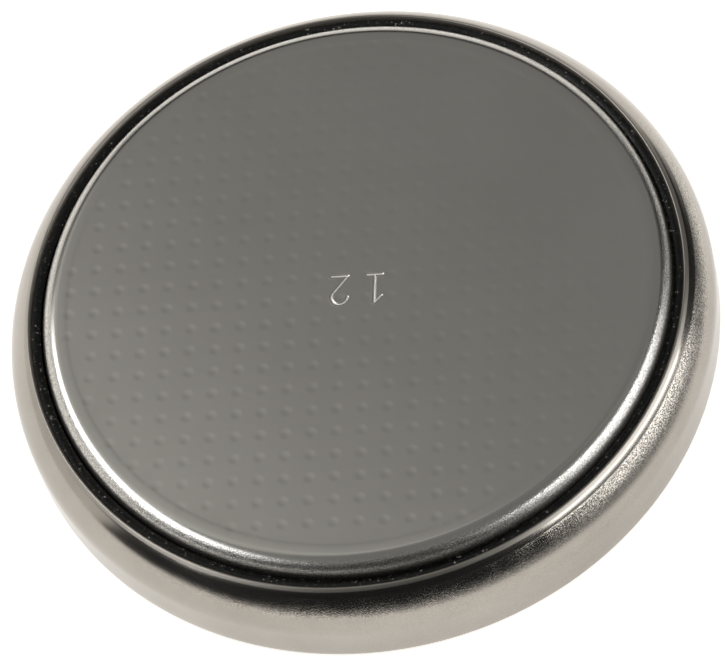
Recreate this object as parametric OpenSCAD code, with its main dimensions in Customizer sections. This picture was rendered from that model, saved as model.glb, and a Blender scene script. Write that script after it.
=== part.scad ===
// Lithium coin cell, 20 mm across and 3.2 mm high.
// Lies on its positive can, with the negative cap on top.
// Origin: centre of the can's outer floor. Millimetres, +Z up.

/* [Cell] */
// Outer diameter of the can
cell_d = 20; // [19.8:0.1:20.4]
// Height over both contacts
cell_h = 3.2; // [3.1:0.1:3.6]

/* [Can] */
// Thickness of the steel sheet of the can
can_sheet = 0.25; // [0.24:0.01:0.3]
// Outer radius of the corner between floor and wall
can_corner_r = 0.4; // [0.35:0.05:0.6]
// Outer radius of the crimped shoulder
crimp_r = 1.73; // [1.65:0.01:1.8]
// Height at which the straight wall ends and the crimp begins
crimp_z = 1.37; // [1.3:0.01:1.4]
// Angle through which the crimp turns the wall inwards
crimp_angle = 56; // [50:1:60]
// Rounding of the outer edge of the lip
lip_round = 0.12; // [0.05:0.01:0.12]

/* [Cap] */
// Thickness of the steel sheet of the cap
cap_sheet = 0.25; // [0.2:0.01:0.3]
// Diameter of the neck of the cap
neck_d = 17.76; // [17.5:0.02:17.8]
// Outer radius of the edge of the cap's top
cap_edge_r = 0.57; // [0.3:0.01:0.58]
// Gap above the can's floor to the foot of the cap's skirt
skirt_gap = 0.35; // [0.25:0.05:0.6]

/* [Cap texture] */
// Distance between neighbouring dimples
dimple_pitch = 0.7; // [0.6:0.1:2]
// Diameter of a dimple
dimple_d = 0.28; // [0.2:0.02:0.4]
// Depth of a dimple
dimple_depth = 0.01; // [0.01:0.005:0.04]
// Plain margin between the last dimples and the cap's rounded edge
dimple_margin = 0.05; // [0:0.05:1]
// Height of the stamped digits
digit_h = 0.9; // [0.6:0.1:1.5]
// Width of the stamped line
digit_line = 0.08; // [0.06:0.01:0.12]
// Depth of the stamped line
digit_depth = 0.05; // [0.02:0.01:0.08]

/* [Gasket] */
// Thickness of the gasket between can and cap
gasket_t = 0.25; // [0.2:0.01:0.3]
// Height of the gasket's inner lip above the can's floor
gasket_lip_h = 0.9; // [0.6:0.05:1.2]

/* [Electrodes] */
// Diameter of the cathode pellet
pellet_d = 15.9; // [14:0.1:16]
// Diameter of the lithium disc
lithium_d = 16; // [14:0.1:16.4]
// Thickness of the lithium disc
lithium_t = 0.65; // [0.4:0.05:0.8]
// Thickness of the separator
separator_t = 0.2; // [0.1:0.05:0.3]
// Diameter over the separator's raised rim
separator_d = 16.9; // [16.6:0.1:17]
// Height of the separator's raised rim
separator_rim_h = 0.5; // [0.3:0.05:0.6]
// Sheet thickness of the ring around the pellet
ring_t = 0.15; // [0.1:0.05:0.2]
// Height of the ring around the pellet
ring_h = 1.1; // [0.6:0.1:1.4]
// Width of the foot of the ring, under the pellet
ring_foot_w = 1.3; // [0.5:0.1:2]

/* [Hidden] */
$fn = 96;

cell_r = cell_d / 2;
crimp_axis_r = cell_r - crimp_r;              // centre of the crimp's arc
can_inner_r = cell_r - can_sheet;

neck_r = neck_d / 2;
skirt_r = can_inner_r - gasket_t;
shoulder_r = crimp_r - can_sheet - gasket_t;  // cap's shoulder, same centre as the crimp
skirt_foot_z = can_sheet + skirt_gap;
cap_inner_z = cell_h - cap_sheet;
flat_r = neck_r - cap_edge_r;                 // flat part of the cap's top

gasket_top_z = crimp_z + (crimp_r - can_sheet) * sin(crimp_angle);  // level with the lip's inner edge

separator_z = cap_inner_z - lithium_t - separator_t;

dimple_ball_r = (pow(dimple_d / 2, 2) + pow(dimple_depth, 2)) / (2 * dimple_depth);
dimple_offset = [-0.25, 0.19];                // grid node nearest to the axis
dimple_reach = flat_r - dimple_margin - dimple_d / 2;
dimple_steps = ceil(flat_r / dimple_pitch);
stamp_at = [0.2, -0.25];                      // middle of the two digits
stamp_step = 0.98;                            // from digit to digit

can_colour = [0.66, 0.64, 0.60];
cap_colour = [0.55, 0.54, 0.51];
ring_colour = [0.60, 0.60, 0.58];
gasket_colour = [0.07, 0.07, 0.07];
lithium_colour = [0.80, 0.81, 0.83];
separator_colour = [0.93, 0.93, 0.90];
pellet_colour = [0.15, 0.15, 0.16];

// Everything that lies further round than an angle from an arc's centre, up to the axis
module beyond_angle(centre, angle) {
    reach = 3 * crimp_r;
    polygon([
        centre,
        centre + reach * [cos(angle), sin(angle)],
        [-1, centre[1] + reach],
        [-1, centre[1]]
    ]);
}

// Half section of a crimped pot, filled from the axis to its outer face.
// corner_r rounds the foot, and arc_r rounds the shoulder about the crimp's centre.
module pot_half(wall_r, foot_z, corner_r, arc_r) {
    translate([0, foot_z])
        square([wall_r - corner_r, crimp_z - foot_z]);
    translate([0, foot_z + corner_r])
        square([wall_r, crimp_z - foot_z - corner_r]);
    translate([wall_r - corner_r, foot_z + corner_r])
        circle(corner_r);
    intersection() {
        translate([crimp_axis_r, crimp_z])
            circle(arc_r);
        translate([0, crimp_z])
            square([wall_r, arc_r]);
    }
    translate([0, crimp_z])
        square([crimp_axis_r, arc_r]);
}

// A strip of the can's lip between two arcs, ending at an angle
module lip_strip(from_r, to_r, angle) {
    difference() {
        translate([crimp_axis_r, crimp_z])
            circle(to_r);
        translate([crimp_axis_r, crimp_z])
            circle(from_r);
        beyond_angle([crimp_axis_r, crimp_z], angle);
        translate([0, crimp_z - cell_h])
            square([cell_r, cell_h]);
    }
}

// The can's lip, with its outer edge rounded down to the cut face
module lip_half() {
    middle_r = crimp_r - lip_round;
    turn = asin(lip_round / middle_r);
    lip_strip(crimp_r - can_sheet, crimp_r, crimp_angle - turn);
    lip_strip(crimp_r - can_sheet, middle_r * cos(turn), crimp_angle);
    translate([crimp_axis_r, crimp_z])
        rotate(crimp_angle - turn)
            translate([middle_r, 0])
                circle(lip_round);
}

module positive_can() {
    color(can_colour)
        rotate_extrude() {
            difference() {
                pot_half(cell_r, 0, can_corner_r, crimp_r);
                pot_half(can_inner_r, can_sheet, can_corner_r - can_sheet, crimp_r - can_sheet);
                translate([0, crimp_z])
                    square([cell_r, cell_h]);
            }
            lip_half();
        }
}

// Half section of the cap, filled from the axis to a face that is inset from its outer face
module cap_half(inset) {
    foot_z = skirt_foot_z - inset;
    wall_r = skirt_r - inset;
    edge_z = cell_h - cap_edge_r;
    translate([0, foot_z])
        square([wall_r, crimp_z - foot_z]);
    intersection() {
        translate([crimp_axis_r, crimp_z])
            circle(shoulder_r - inset);
        translate([0, crimp_z])
            square([wall_r, shoulder_r]);
    }
    translate([0, crimp_z])
        square([neck_r - inset, edge_z - crimp_z]);
    translate([0, edge_z])
        square([flat_r, cap_edge_r - inset]);
    intersection() {
        translate([flat_r, edge_z])
            circle(cap_edge_r - inset);
        translate([flat_r, edge_z])
            square(cap_edge_r);
    }
}

// One dimple: the foot of a ball, cut off a little above the cap's top so that neighbours stay apart
module dimple() {
    rotate_extrude()
        intersection() {
            translate([0, dimple_ball_r - dimple_depth])
                circle(dimple_ball_r);
            translate([0, -dimple_depth])
                square([dimple_d, 2 * dimple_depth]);
        }
}

module dimples() {
    for (i = [-dimple_steps : dimple_steps], j = [-dimple_steps : dimple_steps]) {
        at = dimple_offset + dimple_pitch * [i, j];
        if (norm(at) < dimple_reach)
            translate([at[0], at[1], cell_h])
                dimple();
    }
}

// A straight stroke of a digit, from one end to the other
module stroke(from, to) {
    way = to - from;
    translate(from)
        rotate(atan2(way[1], way[0]))
            translate([0, -digit_line / 2])
                square([norm(way), digit_line]);
}

module digit_one() {
    top = digit_h / 2;
    stroke([0, -top], [0, top]);
    stroke([-digit_h * 0.24, -top + digit_line / 2], [digit_h * 0.24, -top + digit_line / 2]);
    stroke([0, top - digit_line / 2], [-digit_h * 0.22, top - digit_h * 0.24]);
}

module digit_two() {
    top = digit_h / 2;
    bow = digit_h * 0.27;
    translate([0, top - bow])
        difference() {
            circle(bow);
            circle(bow - digit_line);
            translate([-digit_h, -digit_h])
                square([2 * digit_h, digit_h]);
        }
    stroke([bow - digit_line / 2, top - bow], [-bow, -top + digit_line / 2]);
    stroke([-bow, -top + digit_line / 2], [bow, -top + digit_line / 2]);
}

module stamp() {
    translate([stamp_at[0], stamp_at[1], cell_h - digit_depth])
        rotate(180)
            linear_extrude(2 * digit_depth) {
                translate([-stamp_step / 2, 0])
                    digit_one();
                translate([stamp_step / 2, 0])
                    digit_two();
            }
}

module negative_cap() {
    color(cap_colour)
        difference() {
            rotate_extrude()
                difference() {
                    cap_half(0);
                    cap_half(cap_sheet);
                }
            dimples();
            stamp();
        }
}

module sealing_gasket() {
    channel_r = skirt_r - cap_sheet - gasket_t;
    color(gasket_colour)
        rotate_extrude() {
            difference() {
                pot_half(can_inner_r, can_sheet, can_corner_r - can_sheet, crimp_r - can_sheet);
                cap_half(0);
                square([skirt_r, skirt_foot_z]);
                translate([0, gasket_top_z])
                    square([cell_r, cell_h]);
            }
            translate([channel_r, can_sheet])
                square([skirt_r - channel_r, skirt_gap]);
            translate([channel_r, can_sheet])
                square([gasket_t, gasket_lip_h]);
        }
}

module lithium_anode() {
    color(lithium_colour)
        translate([0, 0, cap_inner_z - lithium_t])
            cylinder(h = lithium_t, d = lithium_d);
}

module separator() {
    color(separator_colour)
        translate([0, 0, separator_z])
            difference() {
                cylinder(h = separator_t + separator_rim_h, d = separator_d);
                translate([0, 0, separator_t])
                    cylinder(h = cell_h, d = separator_d - 2 * separator_t);
            }
}

module cathode_pellet() {
    color(pellet_colour) {
        translate([0, 0, can_sheet])
            cylinder(h = ring_t, d = pellet_d - 2 * (ring_foot_w - ring_t));
        translate([0, 0, can_sheet + ring_t])
            cylinder(h = separator_z - can_sheet - ring_t, d = pellet_d);
    }
}

module cathode_ring() {
    foot_d = pellet_d - 2 * (ring_foot_w - ring_t);
    color(ring_colour)
        translate([0, 0, can_sheet])
            difference() {
                cylinder(h = ring_h, d = pellet_d + 2 * ring_t);
                translate([0, 0, ring_t])
                    cylinder(h = ring_h, d = pellet_d);
                translate([0, 0, -ring_t])
                    cylinder(h = 3 * ring_t, d = foot_d);
            }
}

positive_can();
negative_cap();
sealing_gasket();
lithium_anode();
separator();
cathode_pellet();
cathode_ring();
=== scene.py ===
"""Looks of a lithium coin cell: a crimped can, a dimpled cap, a black gasket and the pieces inside."""
import math

import bmesh
import bpy
import numpy as np
from mathutils import Matrix, Quaternion, Vector, geometry


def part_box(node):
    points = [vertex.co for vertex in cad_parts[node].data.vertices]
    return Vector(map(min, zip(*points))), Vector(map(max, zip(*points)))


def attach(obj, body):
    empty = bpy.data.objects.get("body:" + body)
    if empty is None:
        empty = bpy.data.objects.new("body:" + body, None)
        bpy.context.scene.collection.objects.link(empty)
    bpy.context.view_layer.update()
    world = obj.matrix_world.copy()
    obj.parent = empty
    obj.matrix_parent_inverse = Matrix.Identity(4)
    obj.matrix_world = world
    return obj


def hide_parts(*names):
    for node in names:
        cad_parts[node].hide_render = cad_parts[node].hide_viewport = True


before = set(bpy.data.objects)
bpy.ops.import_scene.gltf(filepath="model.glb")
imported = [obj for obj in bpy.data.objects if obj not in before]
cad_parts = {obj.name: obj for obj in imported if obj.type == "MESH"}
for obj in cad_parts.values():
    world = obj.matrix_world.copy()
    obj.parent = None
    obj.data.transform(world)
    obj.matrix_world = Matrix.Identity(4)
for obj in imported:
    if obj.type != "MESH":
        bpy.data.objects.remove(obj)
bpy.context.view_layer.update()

MM = 0.001
NEAR = 1e-8                 # points closer than this count as one (metres)

# Driving sizes of the cell, from the frame (metres)
CELL_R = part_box("positive_can")[1].x
CAP_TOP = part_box("negative_cap")[1].z
SKIRT_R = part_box("negative_cap")[1].x
SKIRT_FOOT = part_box("negative_cap")[0].z

# Can
SHEET = 0.25 * MM
CAN_CORNER_R = 0.4 * MM
CRIMP_R = 1.73 * MM         # outer radius of the wall's inward roll
CRIMP_Z = 1.37 * MM
CRIMP_ANGLE = math.radians(56)
CRIMP_AXIS_R = CELL_R - CRIMP_R
LIP_ROUND = 0.045 * MM      # rounding of the lip's outer edge
LIP_BURR = 0.02 * MM        # and of its inner edge

# Cap
NECK_R = 8.88 * MM
EDGE_WIDE = 0.53 * MM       # the edge rolls over within this width
EDGE_HIGH = 0.57 * MM       # and within this height
SHOULDER_R = CRIMP_R - 2 * SHEET
LAND_R = 8.16 * MM          # the dimpled field ends here
LAND_SLOPE = 0.1 * MM       # width of the slope from the field up to the land
FIELD_DROP = 0.0016 * MM    # the field lies this far below the land round it
JOIN_R = 8.2 * MM           # where the top disc meets the turned part of the cap
OFF_CENTRE = (0.046 * MM, -0.049 * MM)  # the cap sits this far off the can's axis
OFF_CENTRE_FROM = 2.2 * MM  # the shift starts at this height, inside the can
OFF_CENTRE_FULL = 2.5 * MM  # and is complete from this height up

# Gasket
GASKET_RISE = 0.10 * MM     # how far it stands up along the lip's cut face
GASKET_TOP = 2.61 * MM      # where it meets the neck
GASKET_SWELL = 0.03 * MM    # how far its top bulges
CHANNEL_HIGH = 0.9 * MM     # height of its inner wall

# Dimples
PITCH = 0.7 * MM
DIMPLE_R = 0.17 * MM
DIMPLE_DEPTH = 0.0019 * MM
DIMPLE_SHIFT = (-0.31 * MM, 0.29 * MM)
DIMPLE_REACH = 8.1 * MM
DIMPLE_SIDES = 18
DIMPLE_RINGS = (0.3, 0.52, 0.7, 0.84, 0.95, 1.05, 1.3)  # rings of mesh points, in dimple radii

# Stamp
STAMP_AT = (0.14 * MM, -0.15 * MM)
STAMP_STEP = 0.98 * MM
STAMP_HALF = (0.95 * MM, 0.62 * MM)  # half the sides of the finely meshed rectangle
STAMP_CELL = 0.02 * MM      # mesh size in that rectangle
DIGIT_H = 0.9 * MM
DIGIT_LINE = 0.085 * MM
DIGIT_DEPTH = 0.026 * MM
DIGIT_RIM = 0.0015 * MM     # never above the land, so that the cell keeps its height

# Pieces inside
LITHIUM_ROUND = 0.06 * MM
FLEECE_SHEET = 0.2 * MM
PELLET_BEVEL = 0.08 * MM
RING_SHEET = 0.15 * MM
RING_FLANGE = 1.3 * MM

# Wear of the metal, the painted shade on the cap's neck and the painted highlight in the digits' lines:
# heights, or radii, at which it starts and is complete
SATIN = (2.0 * MM, 2.3 * MM)        # the can's shoulder
BURNISHED = (2.56 * MM, 2.62 * MM)  # the can below its lip
CREST = (2.70 * MM, 2.74 * MM)      # the can's lip
RUBBED = (0, 8 * MM)                # distance from the axis towards RUBBED_SIDE
RUBBED_SIDE = (0.73, -0.69, 0)      # the can's shoulder is rubbed most on this side
EDGE = (3.19 * MM, 3.05 * MM)       # the cap's rounded edge
NECK_SHADE = (3.05 * MM, 2.85 * MM)       # the cap's neck, where the base colour is darkened as painted shade
STRUCK_AND_HIGHLIGHT = (3.192 * MM, 3.18 * MM)    # the sunk lines of the digits, whose base colour is brightened as a painted highlight
STRUCK_AND_HIGHLIGHT_REACH = (3.0 * MM, 2.0 * MM)
NOISE_SPAN = (0.3, 0.7)             # most values of a noise lie within
SPECKLE_SPAN = (0.35, 0.65)

# Camera and light directions: 0 is towards the camera, 90 to its right, 180 behind the cell
CAMERA_AZIMUTH = 16.7
CAMERA_ELEVATION = 58.1
CAMERA_ROLL = -17.7
CAMERA_DISTANCE = 122.8 * MM
CAMERA_AIM = (0.346 * MM, -1.323 * MM)  # from the aimed point to the view's middle, right and up
CAMERA_LENS = 220.2
AIM_Z = 3.29 * MM           # height of the aimed point, on the cell's axis
IMAGE_SENSOR = 36.0

# Stage
WARM = (1.0, 0.98, 0.94)
WARMER = (1.0, 0.97, 0.92)
FLOOR_HALF = 1.2
FLOOR_GLOW = 0.70           # the pale floor is lit from below, like a light table
FLOOR_TINT = (1.0, 0.975, 0.94, 1)
FLOOR_LIT = (0.92, 0.905, 0.88)
FLOOR_UNLIT = 0.50
TABLE_EDGES = ((20, 16 * MM, 21 * MM), (57, 12.5 * MM, 17 * MM))  # its light fades out: side, from, to

SEGMENTS = 512
INSIDE_SEGMENTS = 192


# ---------------------------------------------------------------- geometry

def arc(centre_r, centre_z, radius, start, end, steps):
    """Points (r, z) along an arc; 0 points outwards and pi/2 upwards."""
    turns = np.linspace(start, end, steps + 1)
    return [(centre_r + radius * math.cos(t), centre_z + radius * math.sin(t)) for t in turns]


def crimp_point(radius, angle):
    """The point (r, z) at a radius and an angle about the middle of the crimp's roll."""
    return CRIMP_AXIS_R + radius * math.cos(angle), CRIMP_Z + radius * math.sin(angle)


def circle_points(radius, count):
    """Points (x, y) evenly round a circle about the axis."""
    turns = np.arange(count) * 2 * math.pi / count
    return radius * np.stack([np.cos(turns), np.sin(turns)], 1)


def without_repeats(points):
    """The profile without points that lie on the one before."""
    kept = [points[0]]
    for point in points[1:]:
        if math.dist(point, kept[-1]) > NEAR:
            kept.append(point)
    return kept


def turned(profile, segments=SEGMENTS, closed=False):
    """Vertices and faces of a profile (r, z) turned about the z axis."""
    profile = without_repeats(profile)
    ring = circle_points(1, segments)
    verts, starts = [], []
    for r, z in profile:
        starts.append((len(verts), r > NEAR))
        if r > NEAR:
            verts += [(r * c, r * s, z) for c, s in ring]
        else:
            verts.append((0.0, 0.0, z))
    faces = []
    pairs = list(zip(starts, starts[1:]))
    if closed:
        pairs.append((starts[-1], starts[0]))
    for (a, a_ring), (b, b_ring) in pairs:
        for i in range(segments):
            j = (i + 1) % segments
            if a_ring and b_ring:
                faces.append((a + i, a + j, b + j, b + i))
            elif a_ring:
                faces.append((a + i, a + j, b))
            elif b_ring:
                faces.append((a, b + j, b + i))
    return verts, faces


def mesh_object(name, verts, faces, sharp=40):
    """A smooth-shaded object, on which edges over sharp degrees stay crisp."""
    mesh = bpy.data.meshes.new(name)
    mesh.from_pydata(verts, [], faces)
    mesh.validate()
    obj = bpy.data.objects.new(name, mesh)
    bpy.context.scene.collection.objects.link(obj)
    mesh.shade_smooth()
    mesh.set_sharp_from_angle(angle=math.radians(sharp))
    return obj


def weld(obj, distance):
    """Joins vertices that lie on each other and turns all faces outwards."""
    bm = bmesh.new()
    bm.from_mesh(obj.data)
    bmesh.ops.remove_doubles(bm, verts=bm.verts, dist=distance)
    bmesh.ops.recalc_face_normals(bm, faces=bm.faces)
    bm.to_mesh(obj.data)
    bm.free()


def fit_out(obj, node, material):
    """The piece takes a material, rides on the root body and stands for a CAD node."""
    obj.data.materials.append(material)
    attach(obj, "root")
    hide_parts(node)


# ---------------------------------------------------------------- can

def lip_profile():
    """The rounded lip, and the angles at which the crimp's outer and inner arcs meet it."""
    middle = CRIMP_R - LIP_ROUND
    outer_end = CRIMP_ANGLE - math.asin(LIP_ROUND / middle)
    inside = CRIMP_R - SHEET + LIP_BURR
    inner_end = CRIMP_ANGLE - math.asin(LIP_BURR / inside)
    cut_face = CRIMP_ANGLE + math.pi / 2
    points = arc(*crimp_point(middle, outer_end), LIP_ROUND, outer_end, cut_face, 14)
    points += arc(*crimp_point(inside, inner_end), LIP_BURR, cut_face, CRIMP_ANGLE + math.pi, 5)
    return points, outer_end, inner_end


def can_profile():
    """The can's sheet, outer face first, from the axis round the lip and back to the axis."""
    lip, outer_end, inner_end = lip_profile()
    inner_r = CELL_R - SHEET
    corner = CAN_CORNER_R - SHEET
    points = [(share * CELL_R, 0) for share in (0, 0.3, 0.6, 0.85)]
    points += arc(CELL_R - CAN_CORNER_R, CAN_CORNER_R, CAN_CORNER_R, -math.pi / 2, 0, 12)
    points += [(CELL_R, CAN_CORNER_R + t * (CRIMP_Z - CAN_CORNER_R)) for t in (0.25, 0.5, 0.75)]
    points += arc(CRIMP_AXIS_R, CRIMP_Z, CRIMP_R, 0, outer_end, 44)
    points += lip
    points += arc(CRIMP_AXIS_R, CRIMP_Z, CRIMP_R - SHEET, inner_end, 0, 12)
    points += arc(inner_r - corner, SHEET + corner, corner, 0, -math.pi / 2, 4)
    return points + [(0, SHEET)]


def make_can():
    verts, faces = turned(can_profile())
    obj = mesh_object("can_shell", verts, faces)
    fit_out(obj, "positive_can", can_steel())


# ---------------------------------------------------------------- cap

def land_height(r):
    """Height of the cap's top at a radius, without dimples and stamp."""
    rise = np.clip((r - (LAND_R - LAND_SLOPE)) / LAND_SLOPE, 0, 1)
    return CAP_TOP - FIELD_DROP * (1 - rise * rise * (3 - 2 * rise))


def dimple_centres():
    """Centres (x, y) of all dimples: a square grid within a circle."""
    steps = math.ceil(CELL_R / PITCH)
    centres = [(DIMPLE_SHIFT[0] + i * PITCH, DIMPLE_SHIFT[1] + j * PITCH)
               for i in range(-steps, steps + 1) for j in range(-steps, steps + 1)]
    return [c for c in centres if math.hypot(*c) < DIMPLE_REACH]


def dimple_depth(xy):
    """How far the nearest dimple lowers each point."""
    shifted = (xy - DIMPLE_SHIFT) / PITCH
    nearest = np.round(shifted)
    away = np.linalg.norm((shifted - nearest) * PITCH, axis=1) / DIMPLE_R
    centre = np.linalg.norm(nearest * PITCH + DIMPLE_SHIFT, axis=1)
    bowl = np.clip(1 - away ** 2, 0, 1) ** 1.5
    return np.where(centre < DIMPLE_REACH, DIMPLE_DEPTH * bowl, 0)


def digit_strokes():
    """Stroke ends of the digits 1 and 2, in metres about the stamp's middle, upright."""
    top = DIGIT_H / 2
    foot = 0.24 * DIGIT_H
    flag = (-0.22 * DIGIT_H, 0.52 * top)
    one = [((0, -top), (0, top)), ((-foot, -top), (foot, -top)), ((0, top), flag)]
    bow = 0.25 * DIGIT_H
    turns = np.radians(np.linspace(180, -30, 22))
    curve = [(bow * math.cos(t), top - bow + bow * math.sin(t)) for t in turns]
    two = list(zip(curve, curve[1:])) + [(curve[-1], (-bow, -top)), ((-bow, -top), (1.1 * bow, -top))]
    placed = []
    for strokes, shift in ((one, -STAMP_STEP / 2), (two, STAMP_STEP / 2)):
        placed += [tuple((x + shift, y) for x, y in stroke) for stroke in strokes]
    return placed


def stamp_depth(xy):
    """How far the stamped digits lower each point, with a faint raised rim beside each line."""
    local = -(xy - STAMP_AT)  # the digits stand on their head in the cell's frame
    away = np.full(len(xy), 1.0)
    for start, end in digit_strokes():
        a, b = np.array(start), np.array(end)
        along = np.clip(((local - a) @ (b - a)) / ((b - a) @ (b - a)), 0, 1)
        away = np.minimum(away, np.linalg.norm(local - a - along[:, None] * (b - a), axis=1))
    half = DIGIT_LINE / 2
    rim_at = 1.35 * half
    rim_wide = 0.4 * half
    groove = np.clip(1 - away / half, 0, 1)
    rim = np.exp(-((away - rim_at) / rim_wide) ** 2)
    return DIGIT_DEPTH * groove - DIGIT_RIM * rim


def stamp_points():
    """A fine square field of points at the stamp."""
    half = np.array(STAMP_HALF)
    counts = np.ceil(2 * half / STAMP_CELL).astype(int)
    field = np.stack(np.meshgrid(*[np.linspace(-h, h, n) for h, n in zip(half, counts)]), -1)
    return field.reshape(-1, 2) + STAMP_AT


def dimple_points():
    """Rings of points round each dimple, apart from those in the stamp's field."""
    rings = [circle_points(share * DIMPLE_R, DIMPLE_SIDES) for share in DIMPLE_RINGS]
    pattern = np.concatenate([[[0, 0]]] + rings)
    centres = np.array(dimple_centres())
    points = (centres[:, None] + pattern[None]).reshape(-1, 2)
    in_stamp = (np.abs(points - STAMP_AT) < STAMP_HALF).all(axis=1)
    return points[~in_stamp]


def cap_top():
    """The flat of the cap as a triangle mesh with its dimples and digits sunk in."""
    slack = 0.001 * MM
    slope_radii = np.linspace(LAND_R - LAND_SLOPE, LAND_R, 6)
    bands = [circle_points(radius, SEGMENTS // 2) for radius in slope_radii]
    free = np.concatenate([dimple_points()] + bands)
    free = free[np.linalg.norm(free, axis=1) < LAND_R + slack]
    rim = circle_points(JOIN_R, SEGMENTS)
    points = np.concatenate([rim, free, stamp_points()])
    border = [(i, (i + 1) % len(rim)) for i in range(len(rim))]
    in_mm = [Vector(point / MM) for point in points]
    within_border = 1
    found, _, faces, *_ = geometry.delaunay_2d_cdt(in_mm, border, [], within_border, 1e-6)
    xy = np.array([v[:] for v in found]) * MM
    z = land_height(np.linalg.norm(xy, axis=1)) - dimple_depth(xy) - stamp_depth(xy)
    verts = [(x, y, height) for (x, y), height in zip(xy, z)]
    return verts, [tuple(face) for face in faces]


def edge_arc(wide, high, steps):
    """The rolled edge between top and neck, a quarter of an ellipse."""
    turns = np.linspace(math.pi / 2, 0, steps + 1)
    middle_r, middle_z = NECK_R - EDGE_WIDE, CAP_TOP - EDGE_HIGH
    return [(middle_r + wide * math.cos(t), middle_z + high * math.sin(t)) for t in turns]


def cap_side_profile():
    """The cap's sheet from the join on its top, over the edge, down the skirt and back inside."""
    over = edge_arc(EDGE_WIDE, EDGE_HIGH, 28)
    under = edge_arc(EDGE_WIDE - SHEET, EDGE_HIGH - SHEET, 6)[::-1]
    edge_z = CAP_TOP - EDGE_HIGH
    neck_turn = math.acos((NECK_R - CRIMP_AXIS_R) / SHOULDER_R)
    inner_turn = math.acos((NECK_R - SHEET - CRIMP_AXIS_R) / (SHOULDER_R - SHEET))
    neck_foot = CRIMP_Z + SHOULDER_R * math.sin(neck_turn)
    points = [(JOIN_R, CAP_TOP)] + over
    points += [(NECK_R, edge_z + t * (neck_foot - edge_z)) for t in (0.3, 0.6, 0.9)]
    points += arc(CRIMP_AXIS_R, CRIMP_Z, SHOULDER_R, neck_turn, 0, 14)
    points += [(SKIRT_R, SKIRT_FOOT), (SKIRT_R - SHEET, SKIRT_FOOT)]
    points += arc(CRIMP_AXIS_R, CRIMP_Z, SHOULDER_R - SHEET, 0, inner_turn, 12)
    return points + under + [(0, CAP_TOP - SHEET)]


def set_off_centre(obj):
    """Moves the cap's visible part off the axis and leaves the skirt, inside the can, where it is."""
    for vertex in obj.data.vertices:
        share = (vertex.co.z - OFF_CENTRE_FROM) / (OFF_CENTRE_FULL - OFF_CENTRE_FROM)
        share = min(max(share, 0), 1)
        vertex.co.x += share * OFF_CENTRE[0]
        vertex.co.y += share * OFF_CENTRE[1]


def make_cap():
    side_verts, side_faces = turned(cap_side_profile())
    top_verts, top_faces = cap_top()
    shift = len(side_verts)
    faces = side_faces + [tuple(i + shift for i in face) for face in top_faces]
    obj = mesh_object("cap_shell", side_verts + top_verts, faces, sharp=60)
    weld(obj, distance=0.002 * MM)
    set_off_centre(obj)
    fit_out(obj, "negative_cap", cap_steel())


# ---------------------------------------------------------------- gasket

def swell(start, end, height, steps):
    """Points between two ends, bulged by height at the middle."""
    shares = np.linspace(0, 1, steps + 1)[1:-1]
    (r0, z0), (r1, z1) = start, end
    return [(r0 + t * (r1 - r0), z0 + t * (z1 - z0) + 4 * height * t * (1 - t)) for t in shares]


def gasket_profile():
    """The gasket's closed section: sleeve, top between lip and neck, and channel round the skirt's foot."""
    outer = CELL_R - SHEET
    lip = CRIMP_R - SHEET
    channel = SKIRT_R - 2 * SHEET
    channel_top = SHEET + CHANNEL_HIGH
    corner = CAN_CORNER_R - SHEET
    lip_point = crimp_point(lip + GASKET_RISE, CRIMP_ANGLE)
    neck_turn = math.acos((NECK_R - CRIMP_AXIS_R) / SHOULDER_R)
    points = [(channel, SHEET)]
    points += arc(outer - corner, SHEET + corner, corner, -math.pi / 2, 0, 4)
    points += arc(CRIMP_AXIS_R, CRIMP_Z, lip, 0, CRIMP_ANGLE, 20)
    points += [lip_point] + swell(lip_point, (NECK_R, GASKET_TOP), GASKET_SWELL, 8)
    points += arc(CRIMP_AXIS_R, CRIMP_Z, SHOULDER_R, neck_turn, 0, 14)
    points += [(SKIRT_R, SKIRT_FOOT), (SKIRT_R - SHEET, SKIRT_FOOT)]
    points += [(SKIRT_R - SHEET, channel_top), (channel, channel_top)]
    return points


def make_gasket():
    verts, faces = turned(gasket_profile(), closed=True)
    obj = mesh_object("gasket_ring", verts, faces)
    weld(obj, distance=0.0001 * MM)
    fit_out(obj, "sealing_gasket", gasket_plastic())


# ---------------------------------------------------------------- pieces inside

def lithium_profile():
    """A disc with rounded rims."""
    low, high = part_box("lithium_anode")
    middle_r = high.x - LITHIUM_ROUND
    foot = arc(middle_r, low.z + LITHIUM_ROUND, LITHIUM_ROUND, -math.pi / 2, 0, 5)
    top = arc(middle_r, high.z - LITHIUM_ROUND, LITHIUM_ROUND, 0, math.pi / 2, 5)
    return [(0, low.z)] + foot + top + [(0, high.z)]


def separator_profile():
    """A cup of thin fleece with a raised, rounded rim."""
    low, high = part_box("separator")
    half = FLEECE_SHEET / 2
    rim = arc(high.x - half, high.z - half, half, 0, math.pi, 8)
    floor = low.z + FLEECE_SHEET
    return [(0, low.z), (high.x, low.z)] + rim + [(high.x - FLEECE_SHEET, floor), (0, floor)]


def ring_foot_r():
    """Inner radius of the flange that the ring has under the pellet."""
    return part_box("cathode_ring")[1].x - RING_FLANGE


def pellet_profile():
    """The pressed pellet, stepped at its foot over the ring's flange."""
    low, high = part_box("cathode_pellet")
    foot_r = ring_foot_r()
    step = low.z + RING_SHEET
    return [(0, low.z), (foot_r, low.z), (foot_r, step), (high.x, step),
            (high.x, high.z - PELLET_BEVEL), (high.x - PELLET_BEVEL, high.z), (0, high.z)]


def ring_profile():
    """The L section of the ring, closed."""
    low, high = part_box("cathode_ring")
    foot_r = ring_foot_r()
    inner = high.x - RING_SHEET
    flange = low.z + RING_SHEET
    return [(foot_r, low.z), (high.x, low.z), (high.x, high.z), (inner, high.z),
            (inner, flange), (foot_r, flange)]


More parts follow.
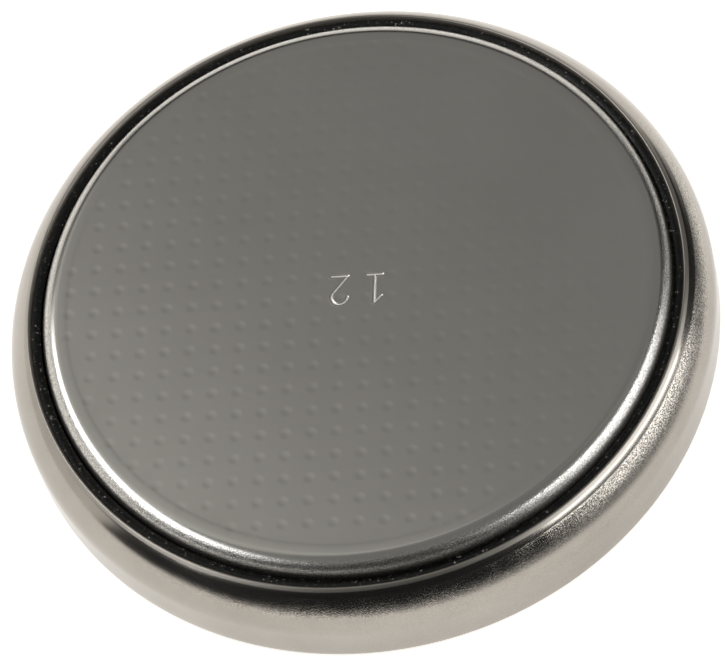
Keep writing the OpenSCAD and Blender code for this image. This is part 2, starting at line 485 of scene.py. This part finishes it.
def make_insides():
    """The four pieces in the can, each turned from its profile."""
    rows = [
        ("lithium_disc", "lithium_anode", "lithium", lithium_metal, lithium_profile, False),
        ("separator_cup", "separator", "separator_fleece", fleece, separator_profile, False),
        ("pellet_disc", "cathode_pellet", "pellet_powder", pressed_powder, pellet_profile, False),
        ("collector_ring", "cathode_ring", "ring_steel", ring_steel, ring_profile, True),
    ]
    for name, node, slot, material, profile, closed in rows:
        verts, faces = turned(profile(), INSIDE_SEGMENTS, closed)
        fit_out(mesh_object(name, verts, faces), node, material())


# ---------------------------------------------------------------- shader nodes

def new_material(name):
    """A node material: the material, its tree, its main shader and the object-space position."""
    material = bpy.data.materials.new(name)
    material.use_nodes = True
    tree = material.node_tree
    shader = tree.nodes["Principled BSDF"]
    place = tree.nodes.new("ShaderNodeTexCoord").outputs["Object"]
    return material, tree, shader, place


def feed(tree, node, values):
    """Gives a node's inputs their values in order: sockets are linked, numbers are set."""
    for socket, value in zip(node.inputs, values):
        if hasattr(value, "is_output"):
            tree.links.new(value, socket)
        else:
            socket.default_value = value


def math_node(tree, operation, *values, clamp=False):
    """The result of a calculation with numbers."""
    node = tree.nodes.new("ShaderNodeMath")
    node.operation = operation
    node.use_clamp = clamp
    feed(tree, node, values)
    return node.outputs[0]


def vector_node(tree, operation, *values):
    """A calculation with vectors, as a node."""
    node = tree.nodes.new("ShaderNodeVectorMath")
    node.operation = operation
    feed(tree, node, values)
    return node


def axis_parts(tree, place):
    """The level part of a position, its length, which is the radius, and the height."""
    split = tree.nodes.new("ShaderNodeSeparateXYZ")
    feed(tree, split, [place])
    level = tree.nodes.new("ShaderNodeCombineXYZ")
    feed(tree, level, [split.outputs["X"], split.outputs["Y"]])
    radius = vector_node(tree, "LENGTH", level.outputs[0]).outputs["Value"]
    return level.outputs[0], radius, split.outputs["Z"]


def drawn_out(tree, place, across):
    """A position that changes little round the axis, so that a noise becomes lines round it."""
    level, radius, height = axis_parts(tree, place)
    unit = vector_node(tree, "NORMALIZE", level).outputs[0]
    lift = tree.nodes.new("ShaderNodeCombineXYZ")
    tree.links.new(math_node(tree, "SUBTRACT", height, radius), lift.inputs["Z"])
    return vector_node(tree, "MULTIPLY_ADD", unit, (across, across, 0), lift.outputs[0]).outputs[0]


def toward_side(tree, place, direction):
    """How far the point lies towards a side of the cell."""
    return vector_node(tree, "DOT_PRODUCT", place, direction).outputs["Value"]


def noise(tree, vector, scale, detail=2.0, rough=0.5):
    """A noise of about 0 to 1."""
    node = tree.nodes.new("ShaderNodeTexNoise")
    tree.links.new(vector, node.inputs["Vector"])
    node.inputs["Scale"].default_value = scale
    node.inputs["Detail"].default_value = detail
    node.inputs["Roughness"].default_value = rough
    return node.outputs["Fac"]


def ramp(tree, value, stops):
    """A colour ramp; stops are (position, grey or colour)."""
    node = tree.nodes.new("ShaderNodeValToRGB")
    tree.links.new(value, node.inputs[0])
    elements = node.color_ramp.elements
    while len(elements) < len(stops):
        elements.new(0.5)
    for element, (position, colour) in zip(elements, stops):
        element.position = position
        shade = (colour,) * 3 if isinstance(colour, (int, float)) else colour
        element.color = (*shade, 1)
    return node.outputs[0]


def span(tree, value, source, target):
    """value mapped from one span to another, smoothly, and held at the ends."""
    node = tree.nodes.new("ShaderNodeMapRange")
    node.interpolation_type = "SMOOTHSTEP"
    feed(tree, node, [value, *source, *target])
    return node.outputs[0]


def bump(tree, shader, height, distance, strength=1.0):
    """Small relief by a height of 0 to 1 times a distance."""
    node = tree.nodes.new("ShaderNodeBump")
    tree.links.new(height, node.inputs["Height"])
    node.inputs["Distance"].default_value = distance
    node.inputs["Strength"].default_value = strength
    tree.links.new(node.outputs[0], shader.inputs["Normal"])


def paint(tree, shader, value, stops):
    """Base colour by a ramp over a value."""
    tree.links.new(ramp(tree, value, stops), shader.inputs["Base Color"])


def roughen(tree, shader, value, source, target):
    """Roughness by a value mapped from one span to another."""
    tree.links.new(span(tree, value, source, target), shader.inputs["Roughness"])


def scale_colour(tree, shader, value, share, source, target):
    """Scales the base colour by a value mapped from one span to another, where share is 1."""
    colour = shader.inputs["Base Color"].links[0].from_socket
    change = math_node(tree, "SUBTRACT", span(tree, value, source, target), 1.0)
    gain = math_node(tree, "MULTIPLY_ADD", change, share, 1.0)
    scaled = vector_node(tree, "SCALE", colour)
    tree.links.new(gain, scaled.inputs["Scale"])
    tree.links.new(scaled.outputs[0], shader.inputs["Base Color"])


# ---------------------------------------------------------------- materials

def steel(name, dark, light):
    """Plain bright steel with a faint blotchy tint; the callers add their own wear, and the cap also its
    painted shade and painted highlight.
    """
    material, tree, shader, place = new_material(name)
    shader.inputs["Metallic"].default_value = 1.0
    paint(tree, shader, noise(tree, place, 260, 4, 0.6), [(0.3, dark), (0.7, light)])
    return material, tree, shader, place


def can_steel():
    """Satin nickel-plated steel: burnished at the lip, rubbed and speckled on the shoulder."""
    material, tree, shader, place = steel("can_steel", (0.304, 0.284, 0.256), (0.366, 0.342, 0.309))
    _, _, height = axis_parts(tree, place)
    sparks = noise(tree, place, 23000, 2, 0.6)
    specks = noise(tree, place, 27000, 2, 0.6)
    lines = noise(tree, drawn_out(tree, place, 0.006), 9000, 3, 0.6)
    cloud = noise(tree, place, 1200, 3, 0.6)
    satin = span(tree, height, SATIN, (0.1, 1))
    satin = math_node(tree, "SUBTRACT", satin, span(tree, height, BURNISHED, (0, 1)), clamp=True)
    worn = math_node(tree, "MULTIPLY", satin, span(tree, cloud, NOISE_SPAN, (0.6, 1.0)))
    rubbed = span(tree, toward_side(tree, place, RUBBED_SIDE), RUBBED, (0.1, 1))
    worn = math_node(tree, "MULTIPLY", worn, rubbed)
    scale_colour(tree, shader, sparks, worn, SPECKLE_SPAN, (0.4, 1.8))
    rough = math_node(tree, "MULTIPLY_ADD", worn, 0.04, 0.17)
    rough = math_node(tree, "ADD", rough, span(tree, height, CREST, (0, 0.2)))
    tree.links.new(rough, shader.inputs["Roughness"])
    marks = math_node(tree, "ADD", specks, math_node(tree, "MULTIPLY", lines, 0.1))
    bump(tree, shader, math_node(tree, "MULTIPLY", marks, worn), 0.009 * MM)
    return material


def cap_steel():
    """Smooth steel, with a rubbed and speckled edge, a neck darkened by painted shade and stamped lines
    lightened by a painted highlight.
    """
    material, tree, shader, place = steel("cap_steel", (0.50, 0.487, 0.46), (0.53, 0.517, 0.49))
    _, radius, height = axis_parts(tree, place)
    sparks = noise(tree, place, 23000, 2, 0.6)
    specks = noise(tree, place, 26000, 1, 0.5)
    edge = span(tree, height, EDGE, (0, 1))
    neck_shade = span(tree, height, NECK_SHADE, (0, 1))
    middle = span(tree, radius, STRUCK_AND_HIGHLIGHT_REACH, (0, 1))
    struck_and_highlight = math_node(tree, "MULTIPLY", span(tree, height, STRUCK_AND_HIGHLIGHT, (0, 1)), middle)
    scale_colour(tree, shader, sparks, edge, SPECKLE_SPAN, (0.65, 1.4))
    # painted shade: the base colour darkens down the cap's lower edge and neck
    scale_colour(tree, shader, neck_shade, neck_shade, SPECKLE_SPAN, (1.0, 0.45))
    # painted highlight: the base colour brightens in the digits' sunk lines
    scale_colour(tree, shader, struck_and_highlight, struck_and_highlight, SPECKLE_SPAN, (1.0, 1.85))
    rough = math_node(tree, "MULTIPLY_ADD", edge, 0.1, 0.2)
    rough = math_node(tree, "ADD", rough, math_node(tree, "MULTIPLY", struck_and_highlight, 0.35))
    tree.links.new(rough, shader.inputs["Roughness"])
    bump(tree, shader, math_node(tree, "MULTIPLY", specks, edge), 0.010 * MM)
    return material


def gasket_plastic():
    """Glossy black polypropylene with small nicks and specks."""
    material, tree, shader, place = new_material("gasket_plastic")
    shades = [(0.5, 0.002), (0.66, (0.014, 0.013, 0.012)), (0.72, (0.28, 0.27, 0.25))]
    paint(tree, shader, noise(tree, place, 11000, 2, 0.5), shades)
    roughen(tree, shader, noise(tree, place, 3000, 3, 0.6), NOISE_SPAN, (0.18, 0.4))
    shader.inputs["Specular IOR Level"].default_value = 0.3
    bump(tree, shader, noise(tree, place, 12000, 3, 0.6), 0.008 * MM, 0.8)
    return material


def lithium_metal():
    """Soft grey metal with a dull, rolled surface."""
    material, tree, shader, place = steel("lithium_metal", (0.62, 0.63, 0.65), (0.78, 0.79, 0.80))
    roll = noise(tree, drawn_out(tree, place, 0.02), 4000, 3, 0.6)
    roughen(tree, shader, roll, NOISE_SPAN, (0.35, 0.6))
    bump(tree, shader, roll, 0.01 * MM, 0.5)
    return material


def fleece():
    """White non-woven fleece of fine crossing fibres."""
    material, tree, shader, place = new_material("separator_fleece")
    fibres = tree.nodes.new("ShaderNodeTexWave")
    tree.links.new(place, fibres.inputs["Vector"])
    fibres.inputs["Scale"].default_value = 4000
    fibres.inputs["Distortion"].default_value = 14
    fibres.inputs["Detail"].default_value = 3
    web = fibres.outputs["Fac"]
    paint(tree, shader, web, [(0, (0.82, 0.82, 0.78)), (1, (0.93, 0.93, 0.9))])
    roughen(tree, shader, web, (0, 1), (0.75, 0.95))
    bump(tree, shader, web, 0.02 * MM, 0.6)
    return material


def pressed_powder():
    """Black pressed powder with fine grain."""
    material, tree, shader, place = new_material("pressed_powder")
    grain = noise(tree, place, 14000, 3, 0.7)
    paint(tree, shader, grain, [(0.3, 0.012), (0.75, 0.06)])
    roughen(tree, shader, grain, NOISE_SPAN, (0.7, 0.95))
    bump(tree, shader, grain, 0.015 * MM, 0.8)
    return material


def ring_steel():
    """Plain thin sheet with faint drawing lines."""
    material, tree, shader, place = steel("ring_steel", (0.5, 0.5, 0.48), (0.6, 0.6, 0.58))
    lines = noise(tree, drawn_out(tree, place, 0.004), 9000, 3, 0.6)
    roughen(tree, shader, lines, NOISE_SPAN, (0.22, 0.4))
    bump(tree, shader, lines, 0.006 * MM, 0.5)
    return material


# ---------------------------------------------------------------- stage

def toward(azimuth, elevation):
    """Unit vector to a direction seen from the cell; azimuth 0 is towards the camera, 90 to its right."""
    turn = math.radians(CAMERA_AZIMUTH + azimuth)
    rise = math.radians(elevation)
    return Vector((math.sin(turn) * math.cos(rise), -math.cos(turn) * math.cos(rise), math.sin(rise)))


def make_camera():
    """The photograph's camera, set back from the aimed point and rolled."""
    back = toward(0, CAMERA_ELEVATION)
    right = toward(90, 0)
    up = back.cross(right)
    roll = math.radians(CAMERA_ROLL)
    across = right * math.cos(roll) + up * math.sin(roll)
    upward = up * math.cos(roll) - right * math.sin(roll)
    spot = Vector((0, 0, AIM_Z)) + back * CAMERA_DISTANCE
    spot += across * CAMERA_AIM[0] + upward * CAMERA_AIM[1]
    data = bpy.data.cameras.new("camera")
    data.lens = CAMERA_LENS
    data.sensor_width = IMAGE_SENSOR
    data.clip_start = 0.01
    data.clip_end = 10
    camera = bpy.data.objects.new("camera", data)
    axes = Matrix((across, upward, back)).transposed()
    camera.matrix_world = Matrix.Translation(spot) @ axes.to_4x4()
    bpy.context.scene.collection.objects.link(camera)
    bpy.context.scene.camera = camera


def panel(name, azimuth, elevation, wide, high, radiance, colour=(1, 1, 1), distance=0.4, roll=0):
    """A flat soft light facing the cell; wide and high are the degrees that it covers."""
    data = bpy.data.lights.new(name, "AREA")
    data.shape = "RECTANGLE"
    data.size = 2 * distance * math.tan(math.radians(wide / 2))
    data.size_y = 2 * distance * math.tan(math.radians(high / 2))
    data.energy = radiance * math.pi * data.size * data.size_y
    data.color = colour
    light = bpy.data.objects.new(name, data)
    away = toward(azimuth, elevation)
    facing = (-away).to_track_quat("-Z", "Y")
    light.location = away * distance
    light.rotation_mode = "QUATERNION"
    light.rotation_quaternion = facing @ Quaternion((0, 0, 1), math.radians(roll))
    light.visible_camera = False
    bpy.context.scene.collection.objects.link(light)


def make_lights():
    """Soft panels round and above the cell, in a dark room."""
    panel("softbox_right", 63, 35, 50, 13, 5.5, roll=-19)
    panel("card_right", 64, 11, 48, 13, 3.2, roll=-8)
    panel("softbox_left", 258, 45, 60, 22, 3.3)
    panel("ceiling_rear", 175, 60, 90, 50, 0.24, WARM, 0.5)
    panel("ceiling_front", 0, 72, 90, 46, 0.22, WARM, 0.5)
    panel("ceiling_left", 216, 60, 30, 34, 0.35, WARM, 0.45)
    panel("wall_left", 235, 12, 70, 24, 1.0, WARMER, 0.5)
    panel("wall_rear", 165, 9, 60, 18, 1.0, WARMER, 0.5)
    world = bpy.data.worlds.new("studio")
    world.use_nodes = True
    world.node_tree.nodes["Background"].inputs["Color"].default_value = (0.02, 0.02, 0.02, 1)
    bpy.context.scene.world = world
    bpy.context.scene.view_settings.view_transform = "Standard"


def make_floor():
    """A pale light table, whose light fades out a little beyond the cell's front and right side."""
    corners = [(-1, -1), (1, -1), (1, 1), (-1, 1)]
    verts = [(x * FLOOR_HALF, y * FLOOR_HALF, 0) for x, y in corners]
    floor = mesh_object("floor", verts, [(0, 1, 2, 3)])
    material, tree, shader, place = new_material("floor_paper")
    fades = [span(tree, toward_side(tree, place, toward(side, 0)), (start, end), (1, 0))
             for side, start, end in TABLE_EDGES]
    lit = math_node(tree, "MULTIPLY", *fades)
    paint(tree, shader, lit, [(0, FLOOR_UNLIT), (1, FLOOR_LIT)])
    tree.links.new(math_node(tree, "MULTIPLY", lit, FLOOR_GLOW), shader.inputs["Emission Strength"])
    shader.inputs["Roughness"].default_value = 0.9
    shader.inputs["Emission Color"].default_value = FLOOR_TINT
    floor.data.materials.append(material)


make_camera()
make_lights()
make_floor()
make_can()
make_cap()
make_gasket()
make_insides()
